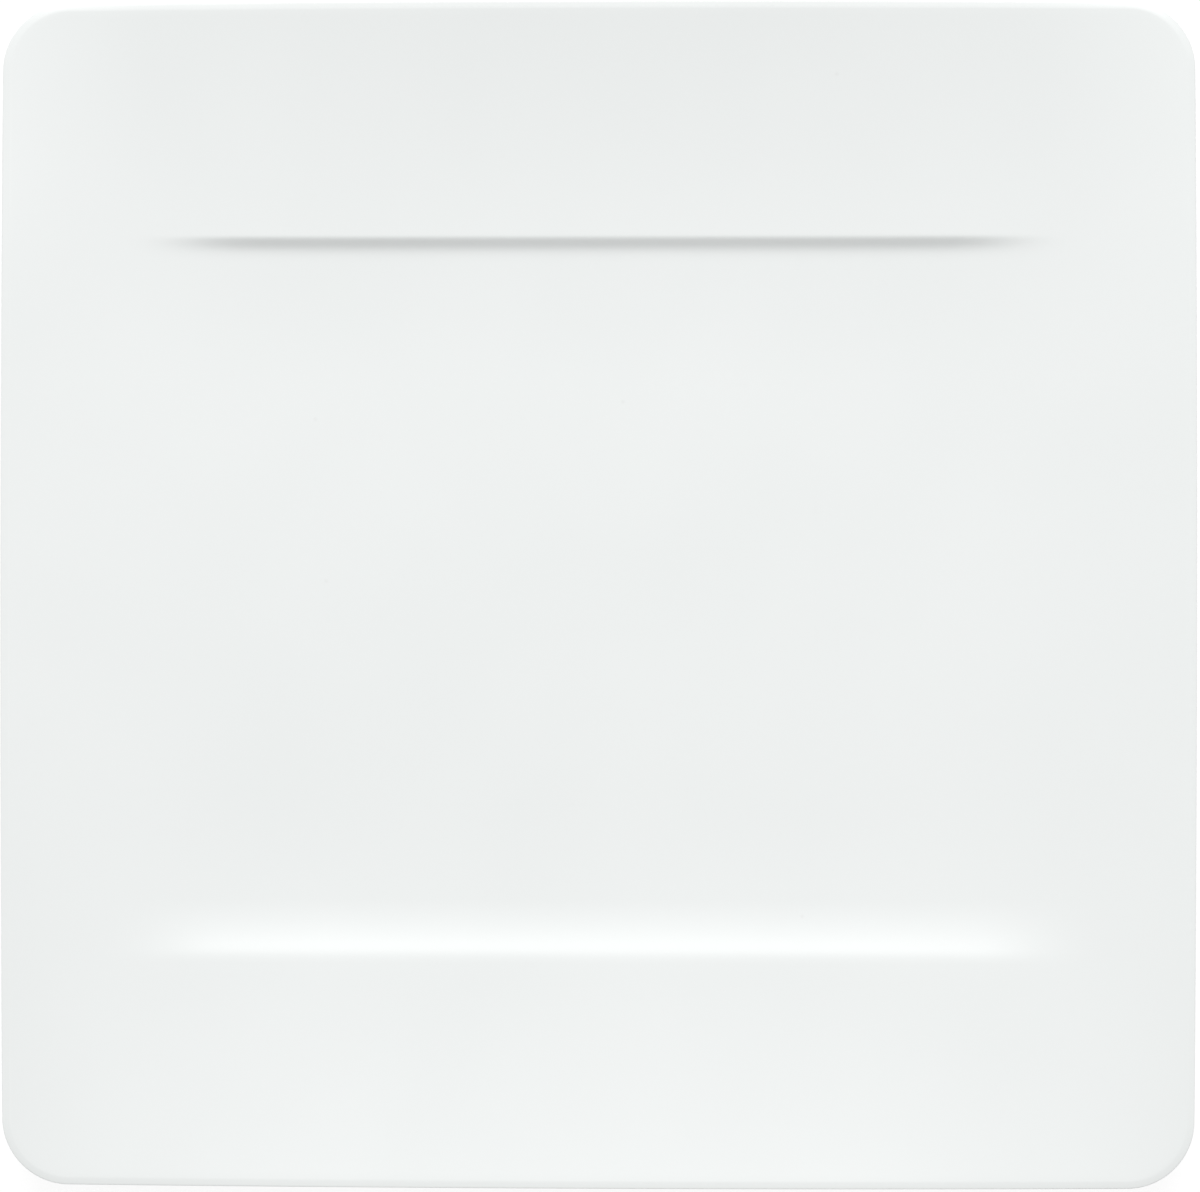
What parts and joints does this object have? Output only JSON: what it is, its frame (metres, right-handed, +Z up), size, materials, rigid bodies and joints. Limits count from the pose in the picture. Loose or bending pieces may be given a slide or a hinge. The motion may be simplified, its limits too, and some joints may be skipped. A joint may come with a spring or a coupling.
{
  "type": "square dinner plate",
  "caption": "Square dinner plate of white glazed porcelain, with a sunken well, opposite sides raised by a step that fades out at its ends, rounded corners and a foot ring.",
  "frame": {"origin": "middle of the plate on the table that its foot ring stands on", "axes": "+Z up out of the dish, +X along the two steps, +Y across them"},
  "size_m": [0.27, 0.268, 0.0187],
  "materials": {
    "bisque": "fine matt fired body, bare only on the standing edge of the foot ring",
    "glaze": "clear gloss over white, very slightly cool"
  },
  "bodies": {
    "root": {"porcelain_body": "bisque", "glaze_coat": "glaze", "base_glaze": "glaze"}
  },
  "joints": []
}
